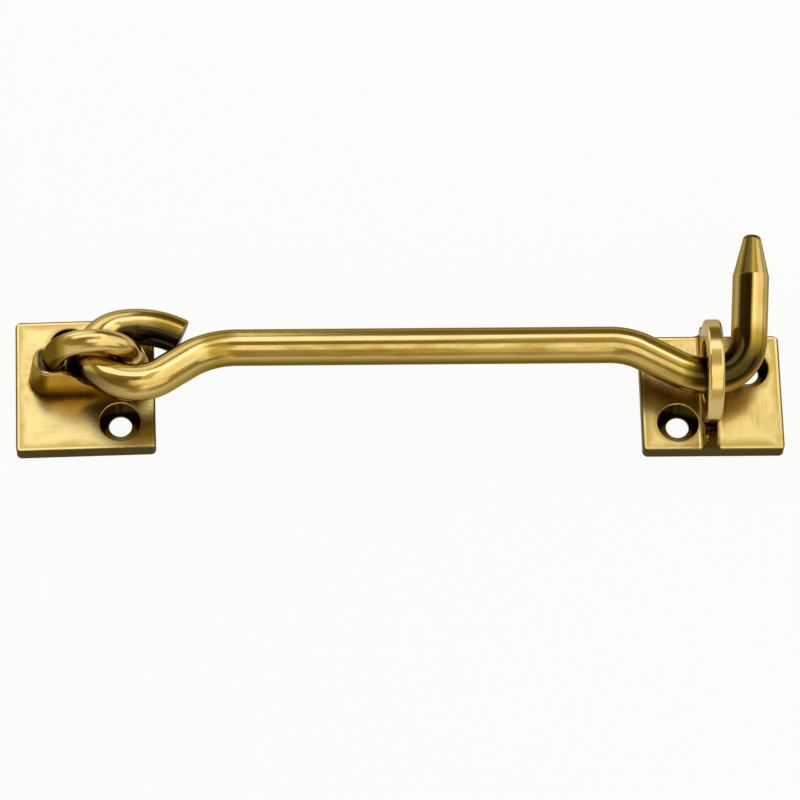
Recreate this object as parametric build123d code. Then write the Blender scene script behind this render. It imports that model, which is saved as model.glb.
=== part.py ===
from build123d import *
import os
from math import acos, cos, degrees, pi, radians, sin, tan

# A brass gate hook in three castings and bendings: a staple plate, a bar bent into an eye, a crank
# and a pin, and a keeper plate with a ring. The plates lie on z = 0 and the bar runs along +X.
# The origin is the middle of the staple, on the plate's mounting face.

# Round bar of the hook
rod_d = 8.0
bar_y = 2.5
bar_rise = -0.6

# Eye of the hook, wound round the staple's leg; its tail sinks behind the neck
eye_tilt = -16.7
eye_play = 2.5
eye_pull = 0.95
eye_side = -1.1
eye_closing = 1.8
eye_wrap_angle = 132.3
eye_return_angle = 74.4
neck_radius = 17.3
neck_angle = 39.2
tail_radius = 20.2
tail_turn_angle = 34.6
tail_straight = 1.5
tail_tilt = 11.0
tail_edge_r = 0.6

# Crank and pin of the hook
bar_length = 81.4
pin_tilt = 13.0
crank_offset = 7.2
crank_radius = 16.6
crank_angle = 27.0
pin_bend_radius = 8.4
pin_bend_angle = 86.5
pin_length = 32.2
pin_taper_length = 9.3
pin_tip_d = 3.6
pin_tip_round = 1.1

# Both plates
plate_t = 3.3
plate_corner_r = 1.2
plate_edge_r = 0.3
screw_hole_d = 5.0
screw_sink_d = 9.2
screw_sink_angle = 78.0
screw_rim_r = 0.25
screw_sink_over = 0.6

# Staple plate, set off the middle of its staple
staple_length = 30.4
staple_width = 31.6
staple_shift_x = -2.1
staple_shift_y = -1.6
staple_hole_x = 5.4
staple_hole_y = 9.25
staple_holes_shift_y = -1.5
staple_turn_angle = 1.5

# Block under the staple's arch, an obround with drafted walls
block_height = 9.9
block_base_length = 27.4
block_base_width = 8.0
block_top_length = 24.6
block_top_width = 7.4
block_shift_x = -0.7
block_shift_y = -0.2
block_rim_r = 0.5

# Saddle across the block, which the eye lies over
saddle_play = 2.5
saddle_x = 2.5
saddle_shoulder_r = 4.0

# Arch of the staple
arch_bar_d = 5.2
arch_play = 1.85
arch_rise = -0.3

# Keeper plate with its ring
keeper_length = 31.0
keeper_width = 27.8
keeper_shift_x = 0.65
keeper_shift_y = -0.25
keeper_hole_x = 8.0
keeper_hole_y = 6.5
keeper_holes_shift_x = 0.4
keeper_holes_shift_y = -0.7
ring_play = 2.7
ring_wall = 4.6
ring_t = 3.5
ring_edge_r = 0.7
ring_along_bend = -0.15
rib_t = 3.1
rib_front_h = 2.2
rib_rear_h = 4.8
rib_rear_round = 0.8
rib_flare_r = 1.1

# Gap left between the bar and the ring that it rests in
seat_gap = 0.3

# Places worked out from the sizes above
rod_r = rod_d / 2
arch_bar_r = arch_bar_d / 2
arch_radius = rod_r + arch_play + arch_bar_r
block_top_z = plate_t + block_height
arch_z = block_top_z + arch_rise
bar_z = block_top_z + bar_rise

eye_radius = rod_r + arch_bar_r + eye_play
eye_back_radius = eye_radius - eye_closing
eye_x = arch_radius + eye_pull
neck_sin = sin(radians(neck_angle))
neck_cos = cos(radians(neck_angle))
neck_drop = eye_radius - eye_side
neck_straight = (neck_drop - (neck_radius + eye_radius) * (1 - neck_cos)) / neck_sin
bar_start_x = eye_x + (neck_radius + eye_radius) * neck_sin + neck_straight * neck_cos

crank_sin = sin(radians(crank_angle))
crank_cos = cos(radians(crank_angle))
crank_straight = (crank_offset - 2 * crank_radius * (1 - crank_cos)) / crank_sin
bar_end_x = bar_start_x + bar_length
bend_x = bar_end_x + 2 * crank_radius * crank_sin + crank_straight * crank_cos
pin_straight = pin_length - pin_bend_radius - pin_taper_length

ring_hole_r = rod_r + ring_play
ring_r = ring_hole_r + ring_wall
ring_rod_y = bar_y - crank_offset * cos(radians(pin_tilt))
ring_rod_z = bar_z - crank_offset * sin(radians(pin_tilt))
ring_z = ring_rod_z - rod_r - seat_gap + ring_hole_r
keeper_x = bend_x + ring_along_bend
keeper_y = ring_rod_y


def plate_blank(length, width, x, y):
    """A flat plate on z = 0 with rounded corners and eased upper edges."""
    outline = Pos(x, y) * RectangleRounded(length, width, plate_corner_r)
    blank = extrude(outline, plate_t)
    return fillet(blank.faces().sort_by(Axis.Z)[-1].edges(), plate_edge_r)


def screw_holes(places):
    """Cutters for countersunk screw holes, flared so that their rims in the plate's face are eased."""
    half_angle = radians(screw_sink_angle / 2)
    bore_r = screw_hole_d / 2
    sink_r = screw_sink_d / 2
    cone_foot = (bore_r, plate_t - (sink_r - bore_r) / tan(half_angle))
    ease = screw_rim_r * tan((pi / 2 - half_angle) / 2)
    cone_top = (sink_r - ease * sin(half_angle), plate_t - ease * cos(half_angle))
    cone = Line(cone_foot, cone_top)
    rim = JernArc(cone_top, cone % 1, screw_rim_r, screw_sink_angle / 2 - 90)
    top_z = plate_t + screw_sink_over
    lid = Polyline(rim @ 1, (sink_r + ease, top_z), (0, top_z))
    bore = Polyline((0, top_z), (0, -plate_t), (bore_r, -plate_t), cone_foot)
    cutter = revolve(Plane.XZ * make_face([cone, rim, lid, bore]), Axis.Z)
    return [Pos(x, y) * cutter for x, y in places]


def staple_block():
    """The drafted obround block, with a saddle scooped across it for the eye."""
    base = Pos(block_shift_x, block_shift_y, plate_t) * SlotOverall(block_base_length, block_base_width)
    top = Pos(block_shift_x, block_shift_y, block_top_z) * SlotOverall(block_top_length, block_top_width)
    block = loft([base, top])
    block = fillet(block.faces().sort_by(Axis.Z)[-1].edges(), block_rim_r)

    # The scoop is a round trough with rounded shoulders, tangent all along
    trough_r = rod_r + saddle_play
    shoulder = degrees(acos(saddle_shoulder_r / (trough_r + saddle_shoulder_r)))
    half_width = (trough_r + saddle_shoulder_r) * sin(radians(shoulder))
    left = JernArc((saddle_x - half_width, 0), (1, 0), saddle_shoulder_r, -shoulder)
    trough = JernArc(left @ 1, left % 1, trough_r, 2 * shoulder)
    right = JernArc(trough @ 1, trough % 1, saddle_shoulder_r, -shoulder)
    lid = Polyline(right @ 1, (saddle_x + half_width, rod_d), (saddle_x - half_width, rod_d), left @ 0)
    profile = make_face([left, trough, right, lid])
    across = Plane((0, 0, block_top_z), x_dir=(1, 0, 0), z_dir=(0, -1, 0))
    return block - extrude(across * profile, block_base_width, both=True)


def staple_arch():
    """The round arch on two legs that go down through the block to the plate."""
    upright = Plane.XZ
    leg_up = Line((-arch_radius, plate_t / 2), (-arch_radius, arch_z))
    crown = JernArc((-arch_radius, arch_z), (0, 1), arch_radius, -180)
    leg_down = Line(crown @ 1, (arch_radius, plate_t / 2))
    path = upright * Wire([leg_up, crown, leg_down])
    section = Plane(path @ 0, z_dir=path % 0) * Circle(arch_bar_r)
    return sweep(section, path)


def staple_plate():
    """The staple plate: one casting of plate, block and arch, turned a little as it lies."""
    plate = plate_blank(staple_length, staple_width, staple_shift_x, staple_shift_y)
    places = [
        (staple_hole_x, staple_holes_shift_y - staple_hole_y),
        (-staple_hole_x, staple_holes_shift_y + staple_hole_y),
    ]
    casting = plate + staple_block() + staple_arch() - screw_holes(places)
    return Rot(0, 0, staple_turn_angle) * casting


def hook():
    """The hook: one round bar bent into an open eye, a neck, a crank and a tapered pin."""
    eye_plane = Plane(
        (0, bar_y, bar_z),
        x_dir=(1, 0, 0),
        z_dir=(0, -sin(radians(eye_tilt)), cos(radians(eye_tilt))),
    )
    pin_plane = Plane(
        (0, bar_y, bar_z),
        x_dir=(1, 0, 0),
        z_dir=(0, -sin(radians(pin_tilt)), cos(radians(pin_tilt))),
    )

    # From the bar back round the eye
    neck_top = JernArc((bar_start_x, 0), (-1, 0), neck_radius, neck_angle)
    neck = Line(neck_top @ 1, neck_top @ 1 + (neck_top % 1) * neck_straight)
    front = JernArc(neck @ 1, neck % 1, eye_radius, -eye_wrap_angle)
    back = JernArc(front @ 1, front % 1, eye_back_radius, -eye_return_angle)

    # The tail bends on in a plane of its own, from the eye's end to the cut
    back_end = eye_plane * back
    tail_side = Vector(0, cos(radians(tail_tilt)), sin(radians(tail_tilt)))
    tail_plane = Plane(back_end @ 1, x_dir=back_end % 1, z_dir=(back_end % 1).cross(tail_side))
    tail = tail_plane * JernArc((0, 0), (1, 0), tail_radius, -tail_turn_angle)
    stub = Line(tail @ 1, tail @ 1 + (tail % 1) * tail_straight)

    # From the bar on to the pin
    bar = Line((bar_start_x, 0), (bar_end_x, 0))
    crank_in = JernArc((bar_end_x, 0), (1, 0), crank_radius, -crank_angle)
    crank = Line(crank_in @ 1, crank_in @ 1 + (crank_in % 1) * crank_straight)
    crank_out = JernArc(crank @ 1, crank % 1, crank_radius, crank_angle)
    pin_bend = JernArc(crank_out @ 1, crank_out % 1, pin_bend_radius, pin_bend_angle)
    pin = Line(pin_bend @ 1, pin_bend @ 1 + (pin_bend % 1) * pin_straight)

    eye_edges = [eye_plane * edge for edge in (back, front, neck, neck_top)]
    pin_edges = [pin_plane * edge for edge in (bar, crank_in, crank, crank_out, pin_bend, pin)]
    path = Wire([stub, tail] + eye_edges + pin_edges)
    rod = sweep(Plane(stub @ 1, z_dir=stub % 1) * Circle(rod_r), path)
    cut_face = rod.faces().sort_by_distance(stub @ 1)[0]
    rod = fillet(cut_face.edges(), tail_edge_r)

    pin_end = pin_plane * pin
    taper_place = Plane(pin_end @ 1, x_dir=(1, 0, 0), z_dir=pin_end % 1)
    taper = Cone(rod_r, pin_tip_d / 2, pin_taper_length, align=(Align.CENTER, Align.CENTER, Align.MIN))
    tip_edge = taper.edges().filter_by(GeomType.CIRCLE).sort_by(Axis.Z)[-1]
    return rod + taper_place * fillet(tip_edge, pin_tip_round)


def keeper_rib(height, y_from, y_to, top_round):
    """A length of the keeper's rib, with concave flares where it meets the plate."""
    half = rib_t / 2
    left = JernArc((-half - rib_flare_r, 0), (1, 0), rib_flare_r, 90)
    sides = Polyline(left @ 1, (-half, height), (half, height), (half, rib_flare_r))
    right = JernArc(sides @ 1, (0, -1), rib_flare_r, 90)
    foot_half = half + rib_flare_r
    foot = Polyline(right @ 1, (foot_half, -plate_t / 2), (-foot_half, -plate_t / 2), left @ 0)
    profile = make_face([left, sides, right, foot])
    if top_round:
        top_corners = profile.vertices().filter_by(lambda v: abs(v.Y - height) < 1e-6)
        profile = fillet(top_corners, top_round)
    across = Plane((0, y_to, plate_t), x_dir=(1, 0, 0), z_dir=(0, -1, 0))
    return extrude(across * profile, y_to - y_from)


def keeper_plate():
    """The keeper plate: one casting of plate, rib and upright ring."""
    plate = plate_blank(keeper_length, keeper_width, keeper_shift_x, keeper_shift_y)
    upright = Plane((-ring_t / 2, 0, ring_z), x_dir=(0, 1, 0), z_dir=(1, 0, 0))
    ring = extrude(upright * (Circle(ring_r) - Circle(ring_hole_r)), ring_t)
    ring = fillet(ring.edges().filter_by(GeomType.CIRCLE), ring_edge_r)
    opening = extrude(upright * Circle(ring_hole_r + ring_edge_r), ring_t)
    front_rib = keeper_rib(rib_front_h, keeper_shift_y - keeper_width / 2, 0, 0)
    rear_rib = keeper_rib(rib_rear_h, 0, keeper_shift_y + keeper_width / 2, rib_rear_round)
    middle_x = keeper_shift_x + keeper_holes_shift_x
    middle_y = keeper_shift_y + keeper_holes_shift_y
    places = [
        (middle_x - keeper_hole_x, middle_y - keeper_hole_y),
        (middle_x + keeper_hole_x, middle_y + keeper_hole_y),
    ]
    casting = plate + (front_rib + rear_rib - opening) + ring - screw_holes(places)
    return Pos(keeper_x, keeper_y) * casting


os.makedirs("parts", exist_ok=True)
for name, piece in (
    ("staple_plate", staple_plate()),
    ("hook", hook()),
    ("keeper_plate", keeper_plate()),
):
    export_step(piece, f"parts/{name}.step")
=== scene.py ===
"""A brass gate hook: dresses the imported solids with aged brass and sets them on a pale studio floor."""

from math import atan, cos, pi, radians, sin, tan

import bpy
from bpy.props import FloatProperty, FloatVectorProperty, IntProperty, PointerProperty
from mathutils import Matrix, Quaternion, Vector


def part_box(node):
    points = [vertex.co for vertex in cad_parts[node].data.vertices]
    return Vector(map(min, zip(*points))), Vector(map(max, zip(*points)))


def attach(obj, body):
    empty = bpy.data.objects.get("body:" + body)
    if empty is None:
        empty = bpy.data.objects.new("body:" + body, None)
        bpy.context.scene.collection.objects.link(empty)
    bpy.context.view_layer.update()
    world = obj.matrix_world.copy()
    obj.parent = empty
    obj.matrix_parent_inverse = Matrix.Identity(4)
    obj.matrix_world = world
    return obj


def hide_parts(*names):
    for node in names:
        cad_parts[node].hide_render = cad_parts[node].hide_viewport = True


bl_info = {
    "name": "Brass gate hook",
    "version": (1, 0, 0),
    "blender": (4, 5, 0),
    "location": "View3D > Sidebar > Gate hook",
    "description": "Bends the bar of a gate hook along its path and gives its castings an aged brass finish",
    "category": "Object",
}

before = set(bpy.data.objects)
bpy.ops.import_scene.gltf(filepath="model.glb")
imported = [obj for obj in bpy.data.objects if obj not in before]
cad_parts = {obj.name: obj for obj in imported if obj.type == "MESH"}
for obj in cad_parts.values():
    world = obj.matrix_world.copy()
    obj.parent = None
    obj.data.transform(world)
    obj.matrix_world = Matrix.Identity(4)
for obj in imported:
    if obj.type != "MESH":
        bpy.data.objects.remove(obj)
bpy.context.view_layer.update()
MM = 0.001


# Properties

def length(name, description, millimetres):
    """A length property, kept in metres."""
    return FloatProperty(
        name=name, description=description, default=millimetres * MM, unit="LENGTH", precision=5
    )


def angle(name, description, degrees):
    """An angle property, kept in radians."""
    return FloatProperty(name=name, description=description, default=radians(degrees), unit="ROTATION")


def colour(name, description, value):
    """A linear colour property."""
    return FloatVectorProperty(
        name=name, description=description, default=value, subtype="COLOR", min=0, max=1
    )


class GateHookBar(bpy.types.PropertyGroup):
    """Sizes of the bent bar."""

    rod: length("Rod diameter", "Diameter of the round bar", 8.0)
    bar_y: length("Bar offset", "How far the bar runs behind the middle of the staple", 2.5)
    bar_z: length("Bar height", "Height of the bar's middle over the mounting face", 12.6)
    bar_length: length("Bar length", "Length of the straight run", 81.4)
    eye_x: length("Eye place", "Middle of the eye, along the bar from the middle of the staple", 9.4)
    eye_drop: length("Eye drop", "How far the eye's front lies before the bar", 10.2)
    eye_tilt: angle("Eye tilt", "Lean of the eye's plane", -16.7)
    eye_radius: length("Eye radius", "Bend radius of the eye's front half", 9.1)
    eye_wrap: angle("Eye wrap", "Turn of the eye's front half", 132.3)
    eye_back_radius: length("Eye back radius", "Bend radius of the eye's back half", 7.3)
    eye_return: angle("Eye return", "Turn of the eye's back half", 74.4)
    neck_radius: length("Neck radius", "Bend radius where the bar meets the neck", 17.3)
    neck_angle: angle("Neck angle", "Slope of the neck from the bar", 39.2)
    tail_radius: length("Tail radius", "Bend radius of the tail", 20.2)
    tail_turn: angle("Tail turn", "Turn of the tail", 34.6)
    tail_tilt: angle("Tail tilt", "Lean of the tail's own plane", 11.0)
    tail_straight: length("Tail run", "Straight length before the cut end", 1.5)
    tail_edge: length("Cut edge", "Rounding of the cut end's rim", 0.6)
    pin_tilt: angle("Pin tilt", "Lean of the plane that holds crank and pin", 13.0)
    crank_radius: length("Crank radius", "Bend radius of the crank", 16.6)
    crank_angle: angle("Crank angle", "Slope of the crank", 27.0)
    crank_offset: length("Crank offset", "How far the crank steps forward", 7.2)
    pin_bend_radius: length("Pin bend radius", "Bend radius where the pin turns off", 8.4)
    pin_bend_angle: angle("Pin bend angle", "Turn of the pin", 86.5)
    pin_straight: length("Pin run", "Straight length of the pin", 14.5)
    taper: length("Taper", "Length of the pin's taper", 9.3)
    tip: length("Tip diameter", "Diameter of the pin's tip", 3.6)
    tip_round: length("Tip rounding", "Rounding of the tip's rim", 1.1)
    sides: IntProperty(name="Sides", description="Facets round the bar", default=96, min=12)


class GateHookPlates(bpy.types.PropertyGroup):
    """Sizes of the two castings that their finish follows."""

    thickness: length("Plate thickness", "Thickness of both plates", 3.3)
    sink: length("Countersink", "Diameter of the countersinks' rims", 9.2)
    staple_length: length("Staple plate length", "Along the bar", 30.4)
    staple_width: length("Staple plate width", "Across the bar", 31.6)
    staple_x: length("Staple plate place X", "Middle of the plate from the middle of the staple", -2.1)
    staple_y: length("Staple plate place Y", "Middle of the plate from the middle of the staple", -1.6)
    staple_turn: angle("Staple plate turn", "How far the staple plate lies turned", 1.5)
    staple_hole_x: length("Staple hole X", "Half the holes' spacing along the bar", 5.4)
    staple_hole_y: length("Staple hole Y", "Half the holes' spacing across the bar", 9.25)
    staple_holes_y: length("Staple holes place", "Middle of the two holes", -1.5)
    block_x: length("Block place X", "Middle of the block", -0.7)
    block_y: length("Block place Y", "Middle of the block", -0.2)
    block_half: length("Block half run", "Half the straight run of the block's outline", 9.1)
    block_rim: length("Block rim", "Half width of the block's top inside its rim", 2.9)
    arch_z: length("Arch spring", "Height where the arch starts to bend", 12.9)
    arch_radius: length("Arch radius", "Bend radius of the arch", 8.45)
    arch_bar: length("Arch bar", "Radius of the arch's bar", 2.6)
    keeper_x: length("Keeper holes X", "Middle of the keeper's two holes", 135.7085)
    keeper_y: length("Keeper holes Y", "Middle of the keeper's two holes", -5.4655)
    keeper_hole_x: length("Keeper hole X", "Half the holes' spacing along the bar", 8.0)
    keeper_hole_y: length("Keeper hole Y", "Half the holes' spacing across the bar", 6.5)
    ring_x: length("Ring place X", "Middle of the ring", 134.6585)
    ring_y: length("Ring place Y", "Middle of the ring", -4.5155)
    ring_z: length("Ring place Z", "Middle of the ring", 13.3804)
    ring_radius: length("Ring radius", "Outer radius of the ring", 11.3)


class GateHookBrass(bpy.types.PropertyGroup):
    """Colours of the aged brass."""

    gold: colour("Gold", "Rubbed brass on the faces", (0.60, 0.438, 0.170))
    # Shade and brown are also the colours of the painted shade on the bar and the castings
    shade: colour("Shade", "Brass under a thin film", (0.325, 0.213, 0.033))
    brown: colour("Brown", "Brass under a thick film", (0.132, 0.082, 0.013))
    grey: colour("Grey", "Unrubbed film on the plates' walls", (0.066, 0.056, 0.034))
    # Also the colour of the painted shade and painted dark reflection on the pin, the tail and the elbow
    black: colour("Blackened", "Thickest film, as in the countersinks", (0.034, 0.025, 0.009))
    raw: colour("Raw cut", "Bare end of the bar", (0.20, 0.195, 0.175))


class GateHookStage(bpy.types.PropertyGroup):
    """Colour of the floor and focal length of the camera."""

    floor: colour("Floor", "Colour of the pale floor", (0.62, 0.62, 0.62))
    lens: FloatProperty(name="Lens", description="Focal length of the camera", default=189.16, unit="CAMERA")


# Node wiring

class Wires:
    """Adds nodes to a tree; a value may be a number, a colour or another node's socket."""

    def __init__(self, tree):
        self.tree = tree

    def add(self, kind, values=None, **settings):
        """A new node with its settings, and then the values of its sockets."""
        node = self.tree.nodes.new(kind)
        for key, value in settings.items():
            setattr(node, key, value)
        for key, value in (values or {}).items():
            self.put(node.inputs[key], value)
        return node

    def put(self, socket, value):
        """Links a socket to another node's socket, or gives it a value of its own."""
        if isinstance(value, bpy.types.NodeSocket):
            self.tree.links.new(value, socket)
        else:
            socket.default_value = value

    def math(self, operation, a, b=0.0):
        """The result of one operation on one or two values."""
        return self.add("ShaderNodeMath", {0: a, 1: b}, operation=operation).outputs[0]

    def fade(self, value, low, high, to_low=0.0, to_high=1.0):
        """A smooth step from to_low at low to to_high at high."""
        values = {"Value": value, "From Min": low, "From Max": high, "To Min": to_low, "To Max": to_high}
        return self.add("ShaderNodeMapRange", values, interpolation_type="SMOOTHSTEP").outputs[0]

    def band(self, value, start, full, fading, end):
        """A mask that rises from start to full and falls from fading to end."""
        return self.times(self.fade(value, start, full), self.fade(value, end, fading))

    def most(self, *masks):
        """The largest of several masks."""
        result = masks[0]
        for mask in masks[1:]:
            result = self.math("MAXIMUM", result, mask)
        return result

    def times(self, *masks):
        """The product of several masks."""
        result = masks[0]
        for mask in masks[1:]:
            result = self.math("MULTIPLY", result, mask)
        return result

    def without(self, mask):
        """The rest of a mask, up to 1."""
        return self.math("SUBTRACT", 1.0, mask)

    def mix(self, factor, a, b):
        """A colour that goes from a to b with a mask."""
        return self.add("ShaderNodeMix", {0: factor, 6: a, 7: b}, data_type="RGBA").outputs[2]

    def choose(self, factor, a, b):
        """A value that goes from a to b with a mask."""
        return self.add("ShaderNodeMix", {0: factor, 2: a, 3: b}, data_type="FLOAT").outputs[0]

    def noise(self, vector, scale, detail=2.0, roughness=0.5):
        """Soft noise from 0 to 1."""
        values = {"Vector": vector, "Scale": scale, "Detail": detail, "Roughness": roughness}
        return self.add("ShaderNodeTexNoise", values).outputs[0]

    def apart(self, vector):
        """The three coordinates of a vector."""
        return self.add("ShaderNodeSeparateXYZ", {0: vector}).outputs

    def together(self, x, y, z):
        """A vector from its three coordinates."""
        return self.add("ShaderNodeCombineXYZ", {0: x, 1: y, 2: z}).outputs[0]

    def span(self, a, b):
        """Length of a vector in a plane, from its two coordinates."""
        return self.math("SQRT", self.math("ADD", self.times(a, a), self.times(b, b)))

    def offset(self, value, middle):
        """How far a coordinate lies from a middle, either way."""
        return self.math("ABSOLUTE", self.math("SUBTRACT", value, middle))

    def use(self, tree, values):
        """Places a node group and gives its outputs."""
        return self.add("ShaderNodeGroup", values, node_tree=tree).outputs


def group(name, inputs, outputs, kind="ShaderNodeTree"):
    """A node group with named sockets; gives the tree, its wires and its two end nodes."""
    tree = bpy.data.node_groups.new(name, kind)
    for socket, socket_type, default in inputs:
        made = tree.interface.new_socket(socket, in_out="INPUT", socket_type=socket_type)
        if default is not None:
            made.default_value = default
    for socket, socket_type in outputs:
        tree.interface.new_socket(socket, in_out="OUTPUT", socket_type=socket_type)
    wires = Wires(tree)
    return tree, wires, tree.nodes.new("NodeGroupInput"), tree.nodes.new("NodeGroupOutput")


def shared(name, make, *inputs):
    """A node group, built the first time it is asked for."""
    return bpy.data.node_groups.get(name) or make(*inputs)


# The brass

EDGE_TINT = (0.62, 0.54, 0.41, 1)
BAND_SPREAD = 5.0
THIN_FILM = (0.0, 0.55)
THICK_FILM = (0.5, 1.0)
MARKS_LIMITS = (0.3, 0.7)
MARKS_ROUGHNESS = (-0.025, 0.03)
FILM_ROUGHNESS = 0.08
BLACK_ROUGHNESS = -0.14
LEAST_ROUGHNESS = 0.05


def brush_group():
    """Fine scratches left by a polishing belt, long along X of the vector, and wider bands of them."""
    tree, wires, given, out = group(
        "Belt marks",
        [
            ("Vector", "NodeSocketVector", None),
            ("Reach", "NodeSocketFloat", 0.012),
            ("Fineness", "NodeSocketFloat", 0.0002),
        ],
        [("Marks", "NodeSocketFloat"), ("Bands", "NodeSocketFloat")],
    )
    x, y, z = wires.apart(given.outputs["Vector"])
    along = wires.math("DIVIDE", x, given.outputs["Reach"])
    for name, spread in (("Marks", 1.0), ("Bands", BAND_SPREAD)):
        width = wires.times(given.outputs["Fineness"], spread)
        place = wires.together(along, wires.math("DIVIDE", y, width), wires.math("DIVIDE", z, width))
        wires.put(out.inputs[name], wires.noise(place, 1.0))
    return tree


def brass_group(brass):
    """Colour and roughness of brass from how much film is left on it; the film input also carries painted
    shade, which darkens the same way.
    """
    tree, wires, given, out = group(
        "Aged brass",
        [
            ("Film and shade", "NodeSocketFloat", 0.0),
            ("Grey", "NodeSocketFloat", 0.0),
            ("Black", "NodeSocketFloat", 0.0),
            ("Marks", "NodeSocketFloat", 0.5),
            ("Polish", "NodeSocketFloat", 0.2),
        ],
        [("Colour", "NodeSocketColor"), ("Roughness", "NodeSocketFloat")],
    )
    film = given.outputs["Film and shade"]
    black = given.outputs["Black"]
    tone = wires.mix(wires.fade(film, *THIN_FILM), (*brass.gold, 1), (*brass.shade, 1))
    tone = wires.mix(wires.fade(film, *THICK_FILM), tone, (*brass.brown, 1))
    tone = wires.mix(given.outputs["Grey"], tone, (*brass.grey, 1))
    wires.put(out.inputs["Colour"], wires.mix(black, tone, (*brass.black, 1)))
    marks = wires.fade(given.outputs["Marks"], *MARKS_LIMITS, *MARKS_ROUGHNESS)
    rough = wires.math("ADD", given.outputs["Polish"], marks)
    coated = wires.math("ADD", wires.times(film, FILM_ROUGHNESS), wires.times(black, BLACK_ROUGHNESS))
    wires.put(out.inputs["Roughness"], wires.most(wires.math("ADD", rough, coated), LEAST_ROUGHNESS))
    return tree


def metal(name):
    """A new metal; gives its material, its wires and its Principled BSDF."""
    material = bpy.data.materials.new(name)
    material.use_nodes = True
    shader = material.node_tree.nodes["Principled BSDF"]
    shader.inputs["Metallic"].default_value = 1.0
    shader.inputs["Specular Tint"].default_value = EDGE_TINT
    return material, Wires(material.node_tree), shader


def raise_surface(wires, shader, height):
    """Bumps a metal by a height in metres."""
    bump = wires.add("ShaderNodeBump", {"Strength": 1.0, "Distance": 1.0, "Height": height})
    wires.put(shader.inputs["Normal"], bump.outputs[0])


# The bar

ARC_STEP = 0.0004
RUN_STEP = 0.002
RIM_STEPS = 8
TAPER_STEPS = 8
TIP_STEPS = 12
SHARP_EDGE = radians(11)


def arc(points, start, heading, axis, radius, turn):
    """Adds the points of an arc about an axis and gives its end and its heading."""
    side = axis.cross(heading) * (1 if turn > 0 else -1)
    centre = start + side * radius
    count = max(2, int(abs(turn) * radius / ARC_STEP))
    for i in range(1, count + 1):
        points.append(centre + Quaternion(axis, turn * i / count) @ (start - centre))
    return points[-1], Quaternion(axis, turn) @ heading


def run(points, start, heading, distance):
    """Adds the points of a straight run and gives its end."""
    count = max(1, int(distance / RUN_STEP))
    for i in range(1, count + 1):
        points.append(start + heading * (distance * i / count))
    return points[-1]


def bar_route(bar):
    """Points and radii along the bar, from the cut end of the tail to the tip of the pin."""
    bends = bar.neck_radius + bar.eye_radius
    neck_run = (bar.eye_drop - bends * (1 - cos(bar.neck_angle))) / sin(bar.neck_angle)
    bar_start = bar.eye_x + bends * sin(bar.neck_angle) + neck_run * cos(bar.neck_angle)
    crank_bends = 2 * bar.crank_radius * (1 - cos(bar.crank_angle))
    crank_run = (bar.crank_offset - crank_bends) / sin(bar.crank_angle)
    start = Vector((bar_start, bar.bar_y, bar.bar_z))
    eye_axis = Vector((0, -sin(bar.eye_tilt), cos(bar.eye_tilt)))
    pin_axis = Vector((0, -sin(bar.pin_tilt), cos(bar.pin_tilt)))
    rod_r = bar.rod / 2

    eye = []
    place, heading = arc(eye, start, Vector((-1, 0, 0)), eye_axis, bar.neck_radius, bar.neck_angle)
    place = run(eye, place, heading, neck_run)
    place, heading = arc(eye, place, heading, eye_axis, bar.eye_radius, -bar.eye_wrap)
    place, heading = arc(eye, place, heading, eye_axis, bar.eye_back_radius, -bar.eye_return)
    tail_side = Vector((0, cos(bar.tail_tilt), sin(bar.tail_tilt)))
    tail_axis = heading.cross(tail_side).normalized()
    place, heading = arc(eye, place, heading, tail_axis, bar.tail_radius, -bar.tail_turn)
    place = run(eye, place, heading, bar.tail_straight - bar.tail_edge)
    eye_radii = [rod_r] * len(eye)
    for i in range(1, RIM_STEPS + 1):
        rise = i * pi / (2 * RIM_STEPS)
        eye.append(place + heading * (bar.tail_edge * sin(rise)))
        eye_radii.append(rod_r - bar.tail_edge * (1 - cos(rise)))

    pin = [start]
    place = run(pin, start, Vector((1, 0, 0)), bar.bar_length)
    place, heading = arc(pin, place, Vector((1, 0, 0)), pin_axis, bar.crank_radius, -bar.crank_angle)
    place = run(pin, place, heading, crank_run)
    place, heading = arc(pin, place, heading, pin_axis, bar.crank_radius, bar.crank_angle)
    place, heading = arc(pin, place, heading, pin_axis, bar.pin_bend_radius, bar.pin_bend_angle)
    place = run(pin, place, heading, bar.pin_straight)
    pin_radii = [rod_r] * len(pin)

    slope = atan((rod_r - bar.tip / 2) / bar.taper)
    round_at = bar.taper - bar.tip_round
    round_r = rod_r - round_at * tan(slope) - bar.tip_round / cos(slope)
    cone_end = round_at + bar.tip_round * sin(slope)
    for i in range(1, TAPER_STEPS + 1):
        pin.append(place + heading * (cone_end * i / TAPER_STEPS))
        pin_radii.append(rod_r - cone_end * i / TAPER_STEPS * tan(slope))
    for i in range(1, TIP_STEPS + 1):
        rise = slope + (pi / 2 - slope) * i / TIP_STEPS
        pin.append(place + heading * (round_at + bar.tip_round * sin(rise)))
        pin_radii.append(round_r + bar.tip_round * cos(rise))
    return eye[::-1] + pin, eye_radii[::-1] + pin_radii


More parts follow.
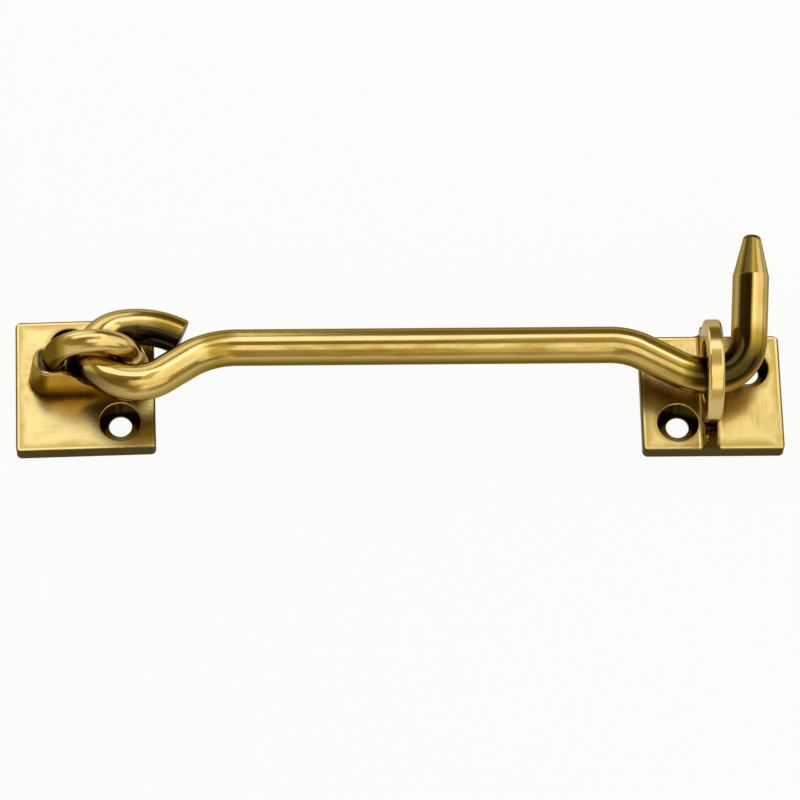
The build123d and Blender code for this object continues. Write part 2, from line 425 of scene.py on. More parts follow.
def sweep_tree():
    """Geometry nodes that sweep a round section along a curve and keep the bar's own coordinates."""
    tree, wires, given, out = group(
        "Swept bar",
        [
            ("Path", "NodeSocketGeometry", None),
            ("Radius", "NodeSocketFloat", 0.004),
            ("Sides", "NodeSocketInt", 96),
            ("Finish", "NodeSocketMaterial", None),
        ],
        [("Bar", "NodeSocketGeometry")],
        "GeometryNodeTree",
    )
    distance = wires.add("GeometryNodeSplineParameter").outputs["Length"]
    keep_path = wires.add("GeometryNodeCaptureAttribute", {"Geometry": given.outputs["Path"]})
    keep_path.capture_items.new("FLOAT", "Distance")
    wires.put(keep_path.inputs["Distance"], distance)
    ring = wires.add(
        "GeometryNodeCurvePrimitiveCircle", {"Resolution": given.outputs["Sides"], "Radius": 1.0}
    )
    keep_ring = wires.add("GeometryNodeCaptureAttribute", {"Geometry": ring.outputs["Curve"]})
    keep_ring.capture_items.new("VECTOR", "Round")
    wires.put(keep_ring.inputs["Round"], wires.add("GeometryNodeInputPosition").outputs[0])
    sweep = wires.add(
        "GeometryNodeCurveToMesh",
        {
            "Curve": keep_path.outputs["Geometry"],
            "Profile Curve": keep_ring.outputs["Geometry"],
            "Scale": wires.add("GeometryNodeInputRadius").outputs[0],
            "Fill Caps": True,
        },
    )
    across, over, _ = wires.apart(keep_ring.outputs["Round"])
    place = wires.together(
        keep_path.outputs["Distance"],
        wires.times(across, given.outputs["Radius"]),
        wires.times(over, given.outputs["Radius"]),
    )
    store = wires.add(
        "GeometryNodeStoreNamedAttribute",
        {"Geometry": sweep.outputs["Mesh"], "Name": "bar_place"},
        data_type="FLOAT_VECTOR",
        domain="POINT",
    )
    wires.put(store.inputs["Value"], place)
    smooth = wires.add("GeometryNodeSetShadeSmooth", {"Geometry": store.outputs[0]})
    realized = wires.add("GeometryNodeRealizeInstances", {"Geometry": smooth.outputs[0]})
    finish = wires.add(
        "GeometryNodeSetMaterial", {"Geometry": realized.outputs[0], "Material": given.outputs["Finish"]}
    )
    wires.put(out.inputs["Bar"], finish.outputs[0])
    return tree


def set_input(modifier, name, value):
    """Sets a geometry nodes input by the identifier of its socket."""
    for item in modifier.node_group.interface.items_tree:
        if item.in_out == "INPUT" and item.name == name:
            modifier[item.identifier] = value
            return
    raise KeyError(name)


# Reaches of the film and of the painted shade in metres along the bar, from the tip of the pin or from the
# cut end of the tail

TIP_RIM = (0.0006, 0.0016)
PIN_SIDE = (0.042, 0.032)
ELBOW = (0.018, 0.028, 0.039, 0.045)
CROOK = (0.0245, 0.030, 0.038, 0.043)
CRANK_UNDER = (0.038, 0.046)
NECK = (0.053, 0.057, 0.060, 0.065)
NECK_UNDER = (0.045, 0.060)
TAIL_INSIDE = (0.040, 0.026)
TAIL_END = (0.010, 0.004)
CUT_FACE = (0.0002, 0.0004)

# Metres to either side of where the taper starts

TAPER_LINE = 0.0001
TAPER_FADE = (-0.0002, 0.0007)

# Limits of which way a spot on the bar faces, as a part of its normal

FRONT_SIDE = (-0.1, -0.4)
SATIN_SIDE = (-0.25, -0.5)
SHADED_UNDERSIDE = (0.35, 0.85)
ELBOW_TOP = (0.2, 0.5)
CROOK_TOP = (0.2, 0.6)
TAPER_MIDDLE = (0.42, 0.2)
TAPER_LEFT = (0.1, -0.25)
TAPER_EDGE = (-0.75, -0.45)
PIN_INNER = (-0.85, -0.6, -0.1, 0.03)
TAIL_FRONT = (-0.22, -0.42)

# Limits in the noise between rubbed brass and film

CLOUD_LIMITS = (0.35, 0.75)
BAND_LIMITS = (0.4, 0.75)
MOTTLE_LIMITS = (0.3, 0.75)
NECK_LIMITS = (0.35, 0.6)
TAIL_END_LIMITS = (0.35, 0.65)

# How thick the film and the painted shade lie on the bar, from 0 to 1

CLOUD_FILM = 0.18
BAND_FILM = 0.08
MOTTLED_FILM = 0.4
UNDER_SHADE = 0.85
UNDER_SHADE_AT_BENDS = 0.5
ELBOW_SHADE = (0.3, 0.95)
NECK_FILM = (0.2, 0.6)
TAIL_END_FILM = (0.3, 0.7)
TAPER_SHADE = 0.72
PIN_BLACK = 0.93
TAPER_BLACK = 0.6
CROOK_BLACK = 0.85

# The side that the painted shade leaves bright, and how the buff has left the bar's surface

LIT_SIDE = (0, -0.3, 0.954)
CLOUD_SCALE = 110.0
MOTTLE_SCALE = 260.0
WAVE_SCALE = 70.0
MOTTLE_STRETCH = (0.25, 1, 1)
BAR_REACH = 0.02
BAR_FINENESS = 0.00015
BAR_POLISH = (0.14, 0.205)
CUT_ROUGHNESS = 0.3
BAR_WAVE = 0.000035
BAR_GRAIN = 0.0000008


class BarPlaces:
    """Where a spot lies on the bar, and which way it faces."""

    def __init__(self, wires, route):
        coords = wires.add("ShaderNodeTexCoord")
        self.solid = coords.outputs["Object"]
        self.normal = coords.outputs["Normal"]
        self.right, self.back, self.up = wires.apart(self.normal)
        self.drawn = wires.add("ShaderNodeAttribute", attribute_name="bar_place").outputs["Vector"]
        self.along = wires.apart(self.drawn)[0]
        self.to_tip = wires.math("SUBTRACT", route, self.along)


def bar_film_and_shade(wires, spot, bands, taper):
    """Brown film, and painted shade on the bar's underside and back, on the upper side of its elbow and on
    the left side and middle of its taper.
    """
    clouds = wires.fade(wires.noise(spot.solid, CLOUD_SCALE, 3.0), *CLOUD_LIMITS, 0.0, CLOUD_FILM)
    thin = wires.math("ADD", clouds, wires.fade(bands, *BAND_LIMITS, 0.0, BAND_FILM))
    stretched = wires.add(
        "ShaderNodeVectorMath", {0: spot.drawn, 1: MOTTLE_STRETCH}, operation="MULTIPLY"
    ).outputs["Vector"]
    mottled = wires.times(
        wires.fade(wires.noise(stretched, MOTTLE_SCALE, 5.0, 0.65), *MOTTLE_LIMITS, 0.0, MOTTLED_FILM),
        wires.fade(spot.back, *FRONT_SIDE),
    )
    # Painted shade: the bar darkens on its underside and back, away from the lit side, half as much on the
    # pin and round the eye
    facing_lit_side = wires.add(
        "ShaderNodeVectorMath", {0: spot.normal, 1: LIT_SIDE}, operation="DOT_PRODUCT"
    ).outputs["Value"]
    under = wires.times(
        wires.fade(facing_lit_side, *SHADED_UNDERSIDE, UNDER_SHADE, 0.0),
        wires.fade(spot.to_tip, *CRANK_UNDER, UNDER_SHADE_AT_BENDS, 1.0),
        wires.fade(spot.along, *NECK_UNDER, UNDER_SHADE_AT_BENDS, 1.0),
    )
    # Painted shade on the upper side of the elbow
    elbow = wires.times(wires.band(spot.to_tip, *ELBOW), wires.fade(spot.up, *ELBOW_TOP, *ELBOW_SHADE))
    neck = wires.times(wires.band(spot.along, *NECK), wires.fade(bands, *NECK_LIMITS, *NECK_FILM))
    end = wires.times(
        wires.fade(spot.along, *TAIL_END), wires.fade(bands, *TAIL_END_LIMITS, *TAIL_END_FILM)
    )
    tip = wires.fade(spot.to_tip, *TIP_RIM, 1.0, 0.0)
    # Painted shade on the taper's left side and along its middle, from where the taper starts
    cone = wires.times(
        wires.most(
            wires.fade(spot.right, *TAPER_MIDDLE, 0.0, TAPER_SHADE), wires.fade(spot.right, *TAPER_LEFT)
        ),
        wires.fade(spot.to_tip, taper + TAPER_LINE, taper - TAPER_LINE),
        wires.fade(spot.right, *TAPER_EDGE),
    )
    return wires.most(thin, mottled, under, elbow, neck, end, tip, cone)


def bar_black(wires, spot, taper):
    """Blackening: painted shade with some film inside the tail, a painted dark reflection on the inner side
    of the pin, and painted shade in the crook of the elbow.
    """
    # Painted shade with some film: black on the front-facing side inside the tail
    tail = wires.times(wires.fade(spot.along, *TAIL_INSIDE), wires.fade(spot.back, *TAIL_FRONT))
    # Painted dark reflection: black on the pin's inner side, weaker on its taper
    pin = wires.times(
        wires.band(spot.right, *PIN_INNER),
        wires.fade(spot.to_tip, *PIN_SIDE, 0.0, PIN_BLACK),
        wires.fade(spot.to_tip, taper + TAPER_FADE[0], taper + TAPER_FADE[1], TAPER_BLACK, 1.0),
    )
    # Painted shade: black on the upper side in the crook of the elbow
    crook = wires.times(
        wires.band(spot.to_tip, *CROOK), wires.fade(spot.up, *CROOK_TOP, 0.0, CROOK_BLACK)
    )
    return wires.most(tail, pin, crook)


def brass_bar_finish(brass, taper, route):
    """Satin brass whose belt marks follow the bar, with a bare cut end."""
    material, wires, shader = metal("brass_bar")
    spot = BarPlaces(wires, route)
    marks = wires.use(
        shared("Belt marks", brush_group),
        {"Vector": spot.drawn, "Reach": BAR_REACH, "Fineness": BAR_FINENESS},
    )
    brassy = wires.use(
        shared("Aged brass", brass_group, brass),
        {
            "Film and shade": bar_film_and_shade(wires, spot, marks["Bands"], taper),
            "Black": bar_black(wires, spot, taper),
            "Marks": marks["Marks"],
            "Polish": wires.fade(spot.back, *SATIN_SIDE, *BAR_POLISH),
        },
    )
    cut = wires.fade(spot.along, *CUT_FACE, 1.0, 0.0)
    wires.put(shader.inputs["Base Color"], wires.mix(cut, brassy["Colour"], (*brass.raw, 1)))
    rough = wires.math("ADD", brassy["Roughness"], wires.times(cut, CUT_ROUGHNESS))
    wires.put(shader.inputs["Roughness"], rough)
    wave = wires.times(wires.noise(spot.solid, WAVE_SCALE), BAR_WAVE)
    raise_surface(wires, shader, wires.math("ADD", wave, wires.times(marks["Marks"], BAR_GRAIN)))
    return material


class GATEHOOK_OT_bar(bpy.types.Operator):
    """Sweeps the bar along its path and gives it a satin brass finish"""

    bl_idname = "gatehook.bar"
    bl_label = "Bend the bar"

    def execute(self, context):
        bar = context.scene.gatehook_bar
        points, radii = bar_route(bar)
        curve = bpy.data.curves.new("bar_path", "CURVE")
        curve.dimensions = "3D"
        line = curve.splines.new("POLY")
        line.points.add(len(points) - 1)
        for spot, point, radius in zip(line.points, points, radii):
            spot.co = (*point, 1)
            spot.radius = radius
        path = bpy.data.objects.new("bar_path", curve)
        context.scene.collection.objects.link(path)
        modifier = path.modifiers.new("Swept bar", "NODES")
        modifier.node_group = sweep_tree()
        set_input(modifier, "Radius", bar.rod / 2)
        set_input(modifier, "Sides", bar.sides)
        route = sum((b - a).length for a, b in zip(points, points[1:]))
        finish = brass_bar_finish(context.scene.gatehook_brass, bar.taper, route)
        set_input(modifier, "Finish", finish)
        evaluated = path.evaluated_get(context.evaluated_depsgraph_get())
        mesh = bpy.data.meshes.new_from_object(evaluated)
        mesh.name = "hook_bar"
        mesh.set_sharp_from_angle(angle=SHARP_EDGE)
        bpy.data.objects.remove(path)
        piece = bpy.data.objects.new("hook_bar", mesh)
        context.scene.collection.objects.link(piece)
        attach(piece, "hook")
        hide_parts("hook")
        return {"FINISHED"}


# The castings: lengths in metres, and thickness of the film from 0 to 1

SOFT_EDGE = 0.0002
FINE_EDGE = 0.0001
WIDE_EDGE = 0.001
CASTING_CLOUD_SCALE = 130.0
CASTING_CLOUD_LIMITS = (0.35, 0.8)
WANDER_LIMITS = (0.3, 0.7)
FILM_WANDER = 0.0007
UNDERSIDE = 0.001
CASTING_REACH = 0.005
CASTING_FINENESS = 0.00008
PLATE_POLISH = 0.24
BRIGHT_POLISH = 0.2
POOLED_POLISH = 0.06
PLATE_GRAIN = 0.00000036
BRIGHT_GRAIN = 0.00000025
CASTING_CLOUD_FILM = 0.3

# Along the plates' borders and round their holes

BORDER = (0.0002, 0.0034)
BORDER_FILM = 0.4
RUBBED_LINE = 0.0008
BROWN_LINE = 0.00036
WALL_DEPTH = 0.0006
WALL_FACING = (0.5, 0.8)
HOLE_REACH = 0.0016
HOLE_FILM = 0.35
SINK_LIP = 0.00015
SINK_EDGE = 0.00008
SINK_BOTTOM = 0.0003
SINK_TOP = 0.0005

# On the staple's block and arch, with heights over the plate

FOOT = (0.0038, 0.0058)
FOOT_HEIGHT = (0.0001, 0.0085)
FOOT_FILM_AND_SHADE = 0.85
BLOCK_TOP = 0.002
RIM_MIDDLE = 0.0005
RIM_HALF = 0.0004
RIM_EDGE = 0.0005
SADDLE_END = 0.0036
BLOCK_END = 0.0025
BLOCK_END_HEIGHT = 0.004
BLOCK_END_FILM = 0.5
ARCH_FOOT = 0.0005
ARCH_LEG_SHADE = (-0.0085, -0.0042)
ARCH_RUBBED = 0.75
STAPLE_BAND_FILM = 0.07

# On the keeper's rib and ring, with heights over the plate

RING_HALF = 0.0019
RING_RUBBED = 0.9
RIB_HALF = 0.00145
RIB_EDGE = 0.00006
RIB_FOOT = 0.0012
RIB_TOP = 0.0034
RIB_RAGGED = 0.0014
RAGGED_SCALE = 700.0
RAGGED_EDGE = 0.00015
RIB_FRONT = -0.006
RIB_BLACK = 0.75
RIB_SIDE = (0.0020, 0.0052)
RIB_SIDE_HALF = 0.0055
RIB_SIDE_EDGE = 0.003
RIB_SIDE_FILM_AND_SHADE = 0.62
KEEPER_BAND_FILM = 0.08


class Casting:
    """What the finish of a casting is worked out from: places on it, and masks from 0 to 1."""

    def __init__(self, name, plates, turn=0.0):
        self.material, self.wires, self.shader = metal(name)
        wires = self.wires
        coords = wires.add("ShaderNodeTexCoord")
        turned = wires.add(
            "ShaderNodeVectorRotate",
            {"Vector": coords.outputs["Object"], "Angle": -turn},
            rotation_type="Z_AXIS",
        )
        self.place = turned.outputs[0]
        self.x, self.y, self.z = wires.apart(self.place)
        self.height = wires.math("SUBTRACT", self.z, plates.thickness)
        self.up = wires.apart(coords.outputs["Normal"])[2]
        self.cloud = wires.noise(self.place, CASTING_CLOUD_SCALE, 4.0)
        self.uneven = wires.fade(self.cloud, *WANDER_LIMITS, -FILM_WANDER, FILM_WANDER)

    def inside(self, value, limit, soft=SOFT_EDGE):
        """A mask that is 1 where a length is under its limit."""
        return self.wires.fade(value, limit - soft, limit + soft, 1.0, 0.0)

    def over(self, value, limit, soft=SOFT_EDGE):
        """A mask that is 1 where a length is over its limit."""
        return self.wires.fade(value, limit - soft, limit + soft)

    def plate_film(self, plates, lo, hi, holes):
        """The film along the plate's edges and round its holes, grey walls and black countersinks."""
        wires = self.wires
        from_x = wires.math("SUBTRACT", (hi[0] - lo[0]) / 2, wires.offset(self.x, (lo[0] + hi[0]) / 2))
        from_y = wires.math("SUBTRACT", (hi[1] - lo[1]) / 2, wires.offset(self.y, (lo[1] + hi[1]) / 2))
        border = wires.math("MINIMUM", from_x, from_y)
        film = wires.fade(wires.math("ADD", border, self.uneven), *BORDER, BORDER_FILM, 0.0)
        film = wires.times(film, wires.without(self.inside(border, RUBBED_LINE, FINE_EDGE)))
        film = wires.most(film, self.inside(border, BROWN_LINE, FINE_EDGE))
        wall = wires.times(wires.fade(self.up, *WALL_FACING, 1.0, 0.0), self.inside(border, WALL_DEPTH))
        sunk = 0.0
        sink = plates.sink / 2
        for hole in holes:
            reach = wires.span(wires.offset(self.x, hole[0]), wires.offset(self.y, hole[1]))
            sunk = wires.most(sunk, self.inside(reach, sink - SINK_LIP, SINK_EDGE))
            near = wires.math("ADD", reach, self.uneven)
            halo = wires.fade(near, sink, sink + HOLE_REACH, HOLE_FILM, 0.0)
            film = wires.most(film, wires.times(halo, self.over(self.z, UNDERSIDE)))
        black = wires.times(sunk, self.inside(self.height, SINK_TOP), self.over(self.z, SINK_BOTTOM))
        return film, wall, black

    def thin_film(self, bands, band_film):
        """The uneven thin film of the whole casting."""
        wires = self.wires
        clouds = wires.fade(self.cloud, *CASTING_CLOUD_LIMITS, 0.0, CASTING_CLOUD_FILM)
        return wires.math("ADD", clouds, wires.fade(bands, *BAND_LIMITS, 0.0, band_film))

    def marks(self, along, across, through):
        """Belt marks that run along the first of three coordinates."""
        vector = self.wires.together(along, across, through)
        values = {"Vector": vector, "Reach": CASTING_REACH, "Fineness": CASTING_FINENESS}
        return self.wires.use(shared("Belt marks", brush_group), values)

    def finish(self, brass, film, wall, black, marks, bright, pooled=0.0):
        """The material: a satin plate, smoother where it is bright and glossy where film has pooled."""
        wires = self.wires
        polish = wires.choose(pooled, wires.choose(bright, PLATE_POLISH, BRIGHT_POLISH), POOLED_POLISH)
        values = {"Film and shade": film, "Grey": wall, "Black": black, "Marks": marks, "Polish": polish}
        brassy = wires.use(shared("Aged brass", brass_group, brass), values)
        wires.put(self.shader.inputs["Base Color"], brassy["Colour"])
        wires.put(self.shader.inputs["Roughness"], brassy["Roughness"])
        grain = wires.choose(bright, PLATE_GRAIN, BRIGHT_GRAIN)
        raise_surface(wires, self.shader, wires.times(marks, grain))
        return self.material


def brass_staple_finish(brass, plates):
    """Brushed plate, satin block with a black saddle, and a bright arch."""
    made = Casting("brass_staple", plates, plates.staple_turn)
    wires = made.wires
    lo = (plates.staple_x - plates.staple_length / 2, plates.staple_y - plates.staple_width / 2)
    hi = (plates.staple_x + plates.staple_length / 2, plates.staple_y + plates.staple_width / 2)
    holes = (
        (plates.staple_hole_x, plates.staple_holes_y - plates.staple_hole_y),
        (-plates.staple_hole_x, plates.staple_holes_y + plates.staple_hole_y),
    )
    film, wall, black = made.plate_film(plates, lo, hi, holes)

    # How far a spot lies from the spine of the block, and from the middle line of the arch
    past_end = wires.math("SUBTRACT", wires.offset(made.x, plates.block_x), plates.block_half)
    reach = wires.span(wires.most(past_end, 0.0), wires.math("SUBTRACT", made.y, plates.block_y))
    rise = wires.most(wires.math("SUBTRACT", made.z, plates.arch_z), 0.0)
    bow = wires.math("SUBTRACT", wires.span(made.x, rise), plates.arch_radius)
    arch = wires.times(
        made.inside(wires.span(bow, made.y), plates.arch_bar + FINE_EDGE, FINE_EDGE),
        made.over(made.height, ARCH_FOOT),
    )

    # The block has film on its end and is black on top inside a rim worn bright; round its foot and low on
    # its walls it gets painted shade with some film
    rim = wires.times(
        made.inside(wires.offset(reach, plates.block_rim + RIM_MIDDLE), RIM_HALF),
        made.over(made.height, BLOCK_TOP, RIM_EDGE),
    )
    # Painted shade with some film: darker round the block's foot on the plate and low on its walls
    foot_film_and_shade = wires.times(
        wires.fade(wires.math("ADD", reach, made.uneven), *FOOT, FOOT_FILM_AND_SHADE, 0.0),
        wires.fade(made.height, *FOOT_HEIGHT, 1.0, 0.0),
        wires.without(rim),
        made.over(made.z, UNDERSIDE),
    )
    end = wires.times(
        made.inside(made.x, -plates.arch_radius - BLOCK_END),
        made.over(made.height, BLOCK_END_HEIGHT, WIDE_EDGE),
        BLOCK_END_FILM,
    )
    saddle = wires.times(
        made.inside(reach, plates.block_rim),
        made.over(made.height, BLOCK_TOP, WIDE_EDGE),
        made.over(made.x, -plates.arch_radius - SADDLE_END, RIM_EDGE),
        wires.without(arch),
    )
    # Painted shade on the arch's left leg
    leg_shade = wires.times(arch, wires.fade(made.x, *ARCH_LEG_SHADE, 1.0, 0.0))
    marks = made.marks(made.x, made.y, made.z)
    film = wires.most(made.thin_film(marks["Bands"], STAPLE_BAND_FILM), film, foot_film_and_shade, end)
    film = wires.most(wires.times(film, wires.without(wires.times(arch, ARCH_RUBBED))), leg_shade)
    return made.finish(brass, film, wall, wires.most(black, saddle), marks["Marks"], arch)


def brass_keeper_finish(brass, plates):
    """Brushed plate, black rib and a bright ring turned round its own axis."""
    made = Casting("brass_keeper", plates)
    wires = made.wires
    lo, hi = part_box("keeper_plate")
    holes = (
        (plates.keeper_x - plates.keeper_hole_x, plates.keeper_y - plates.keeper_hole_y),
        (plates.keeper_x + plates.keeper_hole_x, plates.keeper_y + plates.keeper_hole_y),
    )
    film, wall, black = made.plate_film(plates, lo, hi, holes)

    # How far a spot lies from the middle of the ring
    side = wires.offset(made.x, plates.ring_x)
    from_y = wires.math("SUBTRACT", made.y, plates.ring_y)
    from_z = wires.math("SUBTRACT", made.z, plates.ring_z)
    reach = wires.span(from_y, from_z)
    ring = wires.times(
        made.inside(reach, plates.ring_radius + FINE_EDGE, FINE_EDGE),
        made.inside(side, RING_HALF, FINE_EDGE),
    )

    # The rib is black up to a ragged line; on the plate to both sides of it, under the ring, there is
    # painted shade with some film
    ragged = wires.fade(wires.noise(made.place, RAGGED_SCALE), *WANDER_LIMITS, -RIB_RAGGED, RIB_RAGGED)
    rib = wires.times(
        made.inside(side, RIB_HALF, RIB_EDGE),
        made.inside(wires.math("ADD", made.height, ragged), RIB_TOP, RAGGED_EDGE),
        made.over(made.height, RIB_FOOT, FINE_EDGE),
        made.inside(from_y, RIB_FRONT),
    )
    # Painted shade with some film on the plate to both sides of the rib, under the ring
    foot_film_and_shade = wires.times(
        wires.fade(wires.math("ADD", side, made.uneven), *RIB_SIDE, RIB_SIDE_FILM_AND_SHADE, 0.0),
        made.inside(wires.math("ABSOLUTE", from_y), RIB_SIDE_HALF, RIB_SIDE_EDGE),
        made.inside(made.height, RIB_FOOT, WIDE_EDGE),
        made.over(made.z, UNDERSIDE),
    )
    flat = made.marks(made.y, made.x, made.z)
    round_ring = wires.times(wires.math("ARCTAN2", from_z, from_y), plates.ring_radius)
    turned = made.marks(round_ring, made.x, reach)
    marks = wires.choose(ring, flat["Marks"], turned["Marks"])
    bands = wires.choose(ring, flat["Bands"], turned["Bands"])
    film = wires.most(made.thin_film(bands, KEEPER_BAND_FILM), film, foot_film_and_shade)
    film = wires.most(wires.times(film, wires.without(wires.times(ring, RING_RUBBED))), rib)
    black = wires.most(black, wires.times(rib, RIB_BLACK))
    return made.finish(brass, film, wall, black, marks, ring, rib)


class GATEHOOK_OT_staple(bpy.types.Operator):
    """Gives the staple plate its brushed, darkened brass"""

    bl_idname = "gatehook.staple"
    bl_label = "Finish the staple plate"

    def execute(self, context):
        finish = brass_staple_finish(context.scene.gatehook_brass, context.scene.gatehook_plates)
        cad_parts["staple_plate"].material_slots[0].material = finish
        return {"FINISHED"}


class GATEHOOK_OT_keeper(bpy.types.Operator):
    """Gives the keeper plate its brushed, darkened brass"""

    bl_idname = "gatehook.keeper"
    bl_label = "Finish the keeper plate"

    def execute(self, context):
        finish = brass_keeper_finish(context.scene.gatehook_brass, context.scene.gatehook_plates)
        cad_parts["keeper_plate"].material_slots[0].material = finish
        return {"FINISHED"}


# The stage

FLOOR_HALF = 3.0
FLOOR_PLACE = (0.07, 0, -0.00005)
FLOOR_SEEN = 0.94
FLOOR_MIRRORED = 0.85

# Colours of the studio round the object

LOW_FRONT = (0.38, 0.31, 0.09, 1)
LOW_BACK = (0.22, 0.17, 0.04, 1)
ZENITH_LEFT = (0.28, 0.22, 0.035, 1)
ZENITH_RIGHT = (0.9, 0.8, 0.45, 1)
FRONT_RIGHT = (0.9, 0.8, 0.45, 1)
HORIZON_LEFT = (0.95, 0.88, 0.6, 1)

# Directions between which these colours pass into each other

TO_BACK = (0.2, 0.6)
TO_ZENITH = (0.7, 0.95)
TO_ZENITH_RIGHT = (0.05, 0.11)
FROM_LEFT = (-0.35, -0.02)
FROM_HORIZON = (0.35, 0.5)
ACROSS_FRONT_RIGHT = (0.05, 0.1, 0.25, 0.45)
TO_FRONT = (-0.6, -0.8)

# Each lamp has a name, its place, the point it faces, its width, height, radiance and tint

WHITE = (0.96, 1.0, 1.0)
COOL = (0.73, 0.82, 1.0)
LAMPS = (
    ("softbox_back", (-0.27, 0.388, 0.71), (-0.27, 0, 0.01), 0.78, 0.46, 2.2, COOL),
    ("softbox_back_right", (0.25, 0.465, 0.66), (0.25, 0, 0.01), 0.26, 0.325, 2.1, COOL),
    ("softbox_back_low", (-0.287, 0.725, 0.348), (-0.287, 0, 0.01), 0.665, 0.4, 1.2, WHITE),
    ("softbox_front", (0.02, -0.363, 0.723), (0.02, 0, 0.01), 0.26, 0.41, 1.45, WHITE),
    ("softbox_front_right", (0.6, -0.45, 0.55), (0.6, 0, 0.01), 0.9, 0.7, 1.15, WHITE),
    ("softbox_right", (0.757, 0.25, 0.59), (0.067, 0.25, 0.01), 0.9, 1.17, 1.12, WHITE),
)

CAMERA_PLACE = Vector((0.042729, -0.41055, 0.830706))
CAMERA_TARGET = Vector((0.066997, -0.00434, 0.0))
CAMERA_ROLL = radians(2.6195)
SENSOR_WIDTH = 36


def pale_paper(floor_colour):
    """Paper that looks white, with a soft shadow, and that throws less light than it shows."""
    paper = bpy.data.materials.new("pale_paper")
    paper.use_nodes = True
    paper.node_tree.nodes.clear()
    wires = Wires(paper.node_tree)
    rays = wires.add("ShaderNodeLightPath").outputs
    mirrored = wires.most(rays["Is Glossy Ray"], rays["Is Transmission Ray"])
    seen = wires.most(wires.times(rays["Is Camera Ray"], FLOOR_SEEN), wires.times(mirrored, FLOOR_MIRRORED))
    lit = wires.add("ShaderNodeBsdfDiffuse", {"Color": (*floor_colour, 1)}).outputs[0]
    white = wires.add("ShaderNodeEmission", {"Color": (1, 1, 1, 1), "Strength": 1.0}).outputs[0]
    both = wires.add("ShaderNodeMixShader", {0: seen, 1: lit, 2: white}).outputs[0]
    wires.add("ShaderNodeOutputMaterial", {"Surface": both})
    return paper


def lay_floor(scene, floor_colour):
    """A wide flat floor just under the plates."""
    half = FLOOR_HALF
    corners = [(-half, -half, 0), (half, -half, 0), (half, half, 0), (-half, half, 0)]
    mesh = bpy.data.meshes.new("floor")
    mesh.from_pydata(corners, [], [(0, 1, 2, 3)])
    mesh.transform(Matrix.Translation(FLOOR_PLACE))
    mesh.materials.append(pale_paper(floor_colour))
    floor = bpy.data.objects.new("floor", mesh)
    scene.collection.objects.link(floor)


def studio(scene):
    """Warm dim walls round the object, cream low on the left, in front and overhead to the right."""
    world = bpy.data.worlds.new("studio")
    world.use_nodes = True
    wires = Wires(world.node_tree)
    side, back, rise = wires.apart(wires.add("ShaderNodeTexCoord").outputs["Generated"])
    low = wires.mix(wires.fade(back, *TO_BACK), LOW_FRONT, LOW_BACK)
    zenith = wires.mix(wires.fade(side, *TO_ZENITH_RIGHT), ZENITH_LEFT, ZENITH_RIGHT)
    tint = wires.mix(wires.fade(rise, *TO_ZENITH), low, zenith)
    horizon = wires.times(wires.fade(side, *FROM_LEFT, 1.0, 0.0), wires.fade(rise, *FROM_HORIZON, 1.0, 0.0))
    tint = wires.mix(horizon, tint, HORIZON_LEFT)
    front = wires.times(wires.band(side, *ACROSS_FRONT_RIGHT), wires.fade(back, *TO_FRONT))
    tint = wires.mix(front, tint, FRONT_RIGHT)
    wires.put(world.node_tree.nodes["Background"].inputs["Color"], tint)
    scene.world = world


def softbox(scene, name, place, target, width, height, radiance, tint):
    """A rectangular lamp that faces a point and shines with a given radiance."""
    lamp = bpy.data.lights.new(name, "AREA")
    lamp.shape = "RECTANGLE"
    lamp.size = width
    lamp.size_y = height
    lamp.color = tint
    lamp.energy = radiance * pi * width * height
    holder = bpy.data.objects.new(name, lamp)
    holder.location = place
    holder.rotation_euler = (Vector(target) - Vector(place)).to_track_quat("-Z", "Y").to_euler()
    scene.collection.objects.link(holder)


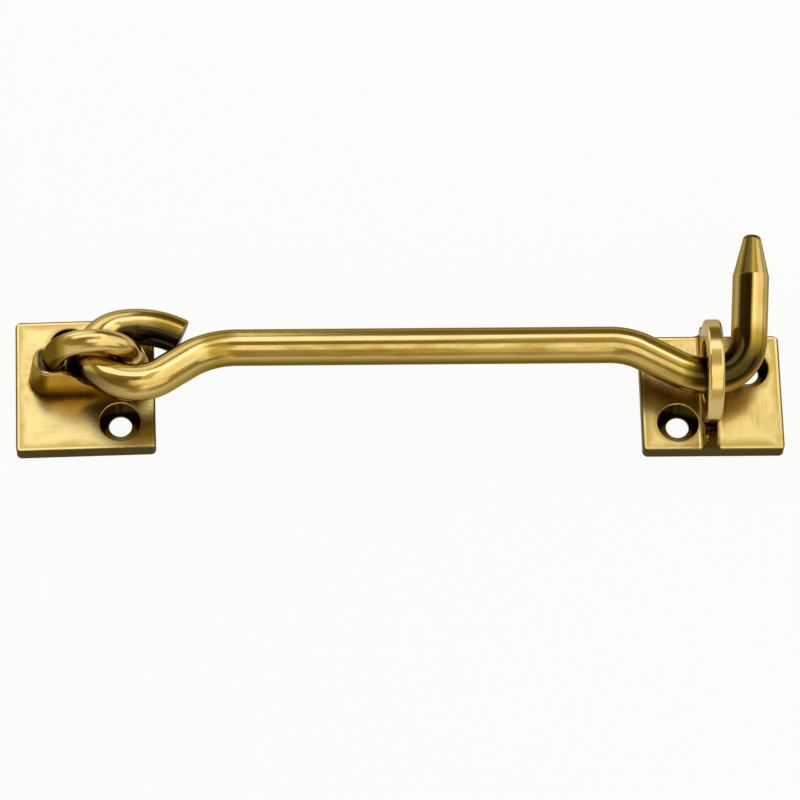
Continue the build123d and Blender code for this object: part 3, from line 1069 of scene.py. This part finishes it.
def set_camera(scene, lens):
    """Sets the camera where the photograph was taken from."""
    camera = bpy.data.cameras.new("camera")
    camera.lens = lens
    camera.sensor_width = SENSOR_WIDTH
    holder = bpy.data.objects.new("camera", camera)
    turn = (CAMERA_TARGET - CAMERA_PLACE).to_track_quat("-Z", "Y") @ Quaternion((0, 0, 1), CAMERA_ROLL)
    holder.matrix_world = Matrix.Translation(CAMERA_PLACE) @ turn.to_matrix().to_4x4()
    scene.collection.objects.link(holder)
    scene.camera = holder


class GATEHOOK_OT_stage(bpy.types.Operator):
    """Lays the floor and sets up the studio light and the camera"""

    bl_idname = "gatehook.stage"
    bl_label = "Set the stage"

    def execute(self, context):
        scene = context.scene
        scene.view_settings.view_transform = "Standard"
        lay_floor(scene, scene.gatehook_stage.floor)
        studio(scene)
        for lamp in LAMPS:
            softbox(scene, *lamp)
        set_camera(scene, scene.gatehook_stage.lens)
        return {"FINISHED"}


class GATEHOOK_PT_panel(bpy.types.Panel):
    """Lists what makes up the gate hook"""

    bl_idname = "GATEHOOK_PT_panel"
    bl_label = "Gate hook"
    bl_space_type = "VIEW_3D"
    bl_region_type = "UI"
    bl_category = "Gate hook"

    def draw(self, context):
        for operator in OPERATORS:
            self.layout.operator(operator.bl_idname)
        for name in PROPERTIES:
            held = getattr(context.scene, name)
            box = self.layout.box()
            for key in held.__annotations__:
                box.prop(held, key)


OPERATORS = (GATEHOOK_OT_bar, GATEHOOK_OT_staple, GATEHOOK_OT_keeper, GATEHOOK_OT_stage)
PROPERTIES = {
    "gatehook_bar": GateHookBar,
    "gatehook_plates": GateHookPlates,
    "gatehook_brass": GateHookBrass,
    "gatehook_stage": GateHookStage,
}


def register():
    """Adds the properties, the operators and the panel."""
    for made in (*PROPERTIES.values(), *OPERATORS, GATEHOOK_PT_panel):
        bpy.utils.register_class(made)
    for name, made in PROPERTIES.items():
        setattr(bpy.types.Scene, name, PointerProperty(type=made))


def unregister():
    """Takes them away again."""
    for name in PROPERTIES:
        delattr(bpy.types.Scene, name)
    for made in (GATEHOOK_PT_panel, *reversed(OPERATORS), *PROPERTIES.values()):
        bpy.utils.unregister_class(made)


def main():
    """Builds the gate hook and its stage."""
    register()
    bpy.ops.gatehook.bar()
    bpy.ops.gatehook.staple()
    bpy.ops.gatehook.keeper()
    bpy.ops.gatehook.stage()


if __name__ == "__main__":
    main()
